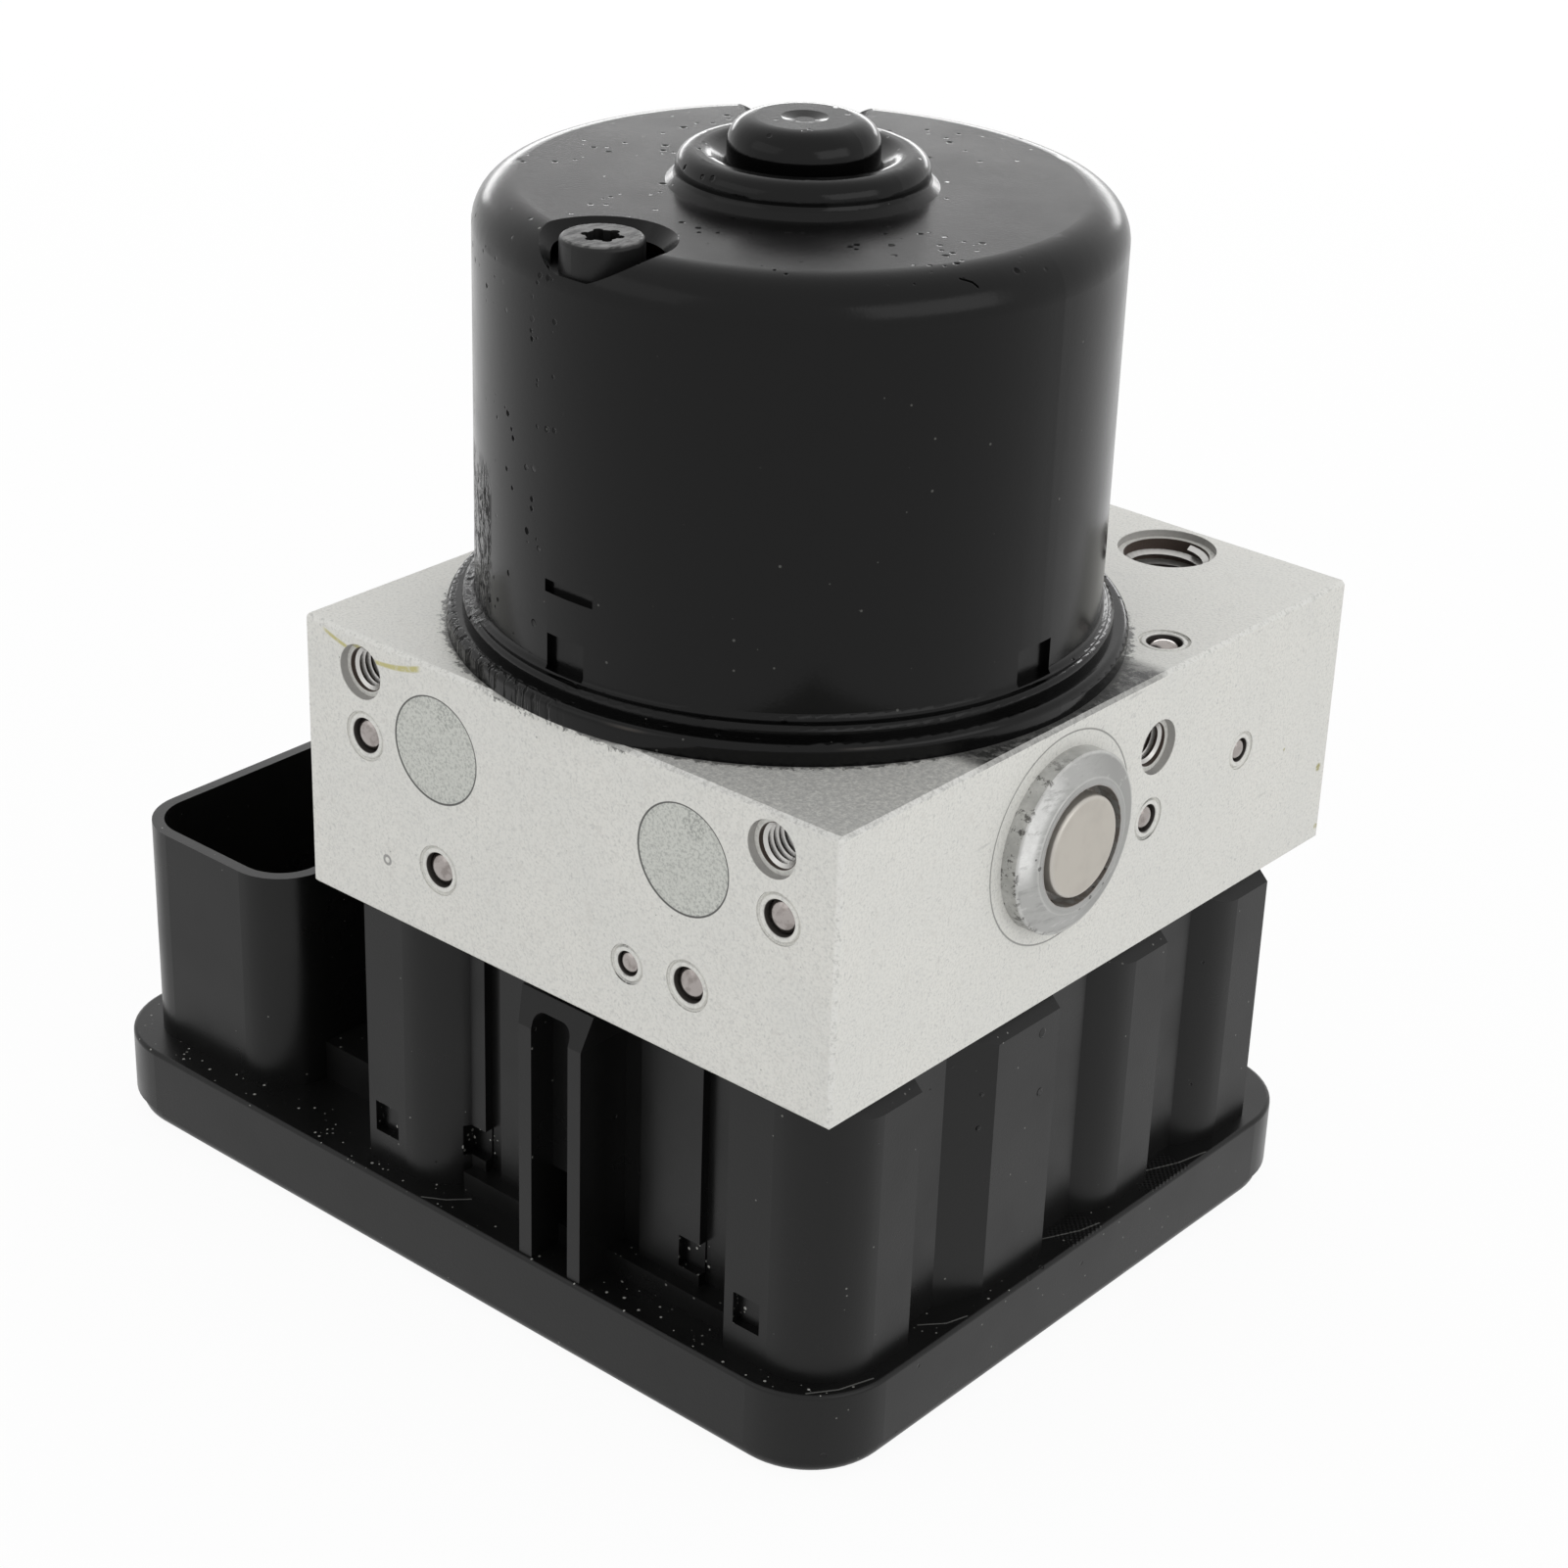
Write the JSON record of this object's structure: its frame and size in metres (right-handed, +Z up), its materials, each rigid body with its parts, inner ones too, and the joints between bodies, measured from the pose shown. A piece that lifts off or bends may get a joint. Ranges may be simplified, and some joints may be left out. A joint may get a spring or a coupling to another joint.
{
  "type": "abs brake module",
  "caption": "Anti-lock brake module: black pump motor on a pale metal valve block with ports and plugs, standing on a moulded control housing with an open connector socket.",
  "frame": {"origin": "on the face that the module stands on, under the middle of the valve block", "axes": "+X from the connector towards the pump plug on the right side, +Y from the face with the accumulator covers to the face with the wheel ports, +Z up along the motor"},
  "size_m": [0.1457, 0.1116, 0.1633],
  "materials": {
    "aluminium_block": "machined, pale matte grey with fine grain and small pits",
    "cover_aluminium": "plain pressed disc, slightly darker grey",
    "piston_aluminium": "turned",
    "steel_ball": "ground ball, slightly warm grey",
    "black_can": "satin black paint on drawn steel",
    "black_screw": "black, chipped at the head",
    "pump_steel": "turned steel with a pitted rim",
    "nickel_disc": "warm nickel grey, turned",
    "turned_steel": "turned",
    "core_steel": "stamped sheet stack",
    "spring_steel": "drawn wire",
    "copper": "enamelled copper",
    "contact_metal": "tinned contact metal",
    "magnet": "pressed ceramic magnet",
    "carbon": "carbon brush",
    "inner_plastic": "moulded plastic",
    "black_housing": "satin black moulded plastic",
    "black_cover": "satin black moulded plastic",
    "seal_rubber": "moulded rubber",
    "board": "coated circuit board"
  },
  "bodies": {
    "block": {"valve_block": "aluminium_block", "ball_plugs": "steel_ball", "motor_can": "black_can", "motor_screws": "black_screw", "motor_seal": "seal_rubber", "magnets": "magnet", "brush_plate": "inner_plastic", "motor_terminals": "contact_metal", "rear_bearing": "turned_steel", "front_bearing": "turned_steel", "valve_cartridges": "turned_steel", "valve_coils": "copper", "ecu_housing": "black_housing", "housing_gasket": "seal_rubber", "housing_screws": "turned_steel", "circuit_board": "board", "connector_pins": "contact_metal", "bottom_cover": "black_cover", "pump_plug_left": "pump_steel", "pump_plug_right": "pump_steel", "plug_disc_left": "nickel_disc", "plug_disc_right": "nickel_disc", "piston_spring_left": "spring_steel", "piston_spring_right": "spring_steel", "accumulator_spring_left": "spring_steel", "accumulator_spring_right": "spring_steel", "accumulator_cover_left": "cover_aluminium", "accumulator_cover_right": "cover_aluminium", "brush_left": "carbon", "brush_right": "carbon", "brush_spring_left": "spring_steel", "brush_spring_right": "spring_steel"},
    "rotor": {"motor_shaft": "turned_steel", "armature_core": "core_steel", "armature_windings": "copper", "commutator": "copper"},
    "eccentric": {"eccentric_ring": "turned_steel"},
    "pump_piston_left": {"pump_piston_left": "turned_steel"},
    "accumulator_piston_left": {"accumulator_piston_left": "piston_aluminium"},
    "pump_piston_right": {"pump_piston_right": "turned_steel"},
    "accumulator_piston_right": {"accumulator_piston_right": "piston_aluminium"},
    "valve_plunger_1": {"valve_plunger_1": "turned_steel"},
    "valve_plunger_2": {"valve_plunger_2": "turned_steel"},
    "valve_plunger_3": {"valve_plunger_3": "turned_steel"},
    "valve_plunger_4": {"valve_plunger_4": "turned_steel"},
    "valve_plunger_5": {"valve_plunger_5": "turned_steel"},
    "valve_plunger_6": {"valve_plunger_6": "turned_steel"},
    "valve_plunger_7": {"valve_plunger_7": "turned_steel"},
    "valve_plunger_8": {"valve_plunger_8": "turned_steel"}
  },
  "joints": [
    {"name": "rotor_spin", "type": "hinge", "parent": "block", "child": "rotor", "pos_m": [-0.0002, -0.0102, 0.12], "axis": [0, 0, 1], "continuous": true},
    {"name": "eccentric_spin", "type": "hinge", "parent": "rotor", "child": "eccentric", "pos_m": [-0.0002, -0.009, 0.0792], "axis": [0, 0, 1], "continuous": true},
    {"name": "pump_piston_left_slide", "type": "slide", "parent": "block", "child": "pump_piston_left", "axis": [-1, 0, 0], "range_m": [0, 0.0024], "stiffness_N_per_m": 400, "springref_m": -0.004, "deforming": ["piston_spring_left"]},
    {"name": "accumulator_piston_left_slide", "type": "slide", "parent": "block", "child": "accumulator_piston_left", "axis": [0, -1, 0], "range_m": [0, 0.007], "stiffness_N_per_m": 300, "springref_m": -0.004, "deforming": ["accumulator_spring_left"]},
    {"name": "pump_piston_right_slide", "type": "slide", "parent": "block", "child": "pump_piston_right", "axis": [1, 0, 0], "range_m": [0, 0.0024], "stiffness_N_per_m": 400, "springref_m": -0.004, "deforming": ["piston_spring_right"]},
    {"name": "accumulator_piston_right_slide", "type": "slide", "parent": "block", "child": "accumulator_piston_right", "axis": [0, -1, 0], "range_m": [0, 0.007], "stiffness_N_per_m": 300, "springref_m": -0.004, "deforming": ["accumulator_spring_right"]},
    {"name": "valve_plunger_1_slide", "type": "slide", "parent": "block", "child": "valve_plunger_1", "axis": [0, 0, 1], "range_m": [0, 0.0004], "stiffness_N_per_m": 60, "springref_m": -0.001},
    {"name": "valve_plunger_2_slide", "type": "slide", "parent": "block", "child": "valve_plunger_2", "axis": [0, 0, 1], "range_m": [0, 0.0004], "stiffness_N_per_m": 60, "springref_m": -0.001},
    {"name": "valve_plunger_3_slide", "type": "slide", "parent": "block", "child": "valve_plunger_3", "axis": [0, 0, 1], "range_m": [0, 0.0004], "stiffness_N_per_m": 60, "springref_m": -0.001},
    {"name": "valve_plunger_4_slide", "type": "slide", "parent": "block", "child": "valve_plunger_4", "axis": [0, 0, 1], "range_m": [0, 0.0004], "stiffness_N_per_m": 60, "springref_m": -0.001},
    {"name": "valve_plunger_5_slide", "type": "slide", "parent": "block", "child": "valve_plunger_5", "axis": [0, 0, 1], "range_m": [0, 0.0004], "stiffness_N_per_m": 60, "springref_m": -0.001},
    {"name": "valve_plunger_6_slide", "type": "slide", "parent": "block", "child": "valve_plunger_6", "axis": [0, 0, 1], "range_m": [0, 0.0004], "stiffness_N_per_m": 60, "springref_m": -0.001},
    {"name": "valve_plunger_7_slide", "type": "slide", "parent": "block", "child": "valve_plunger_7", "axis": [0, 0, 1], "range_m": [0, 0.0004], "stiffness_N_per_m": 60, "springref_m": -0.001},
    {"name": "valve_plunger_8_slide", "type": "slide", "parent": "block", "child": "valve_plunger_8", "axis": [0, 0, 1], "range_m": [0, 0.0004], "stiffness_N_per_m": 60, "springref_m": -0.001}
  ],
  "couplings": [
    {"joint": "eccentric_spin", "follows": "rotor_spin", "ratio": -1}
  ]
}
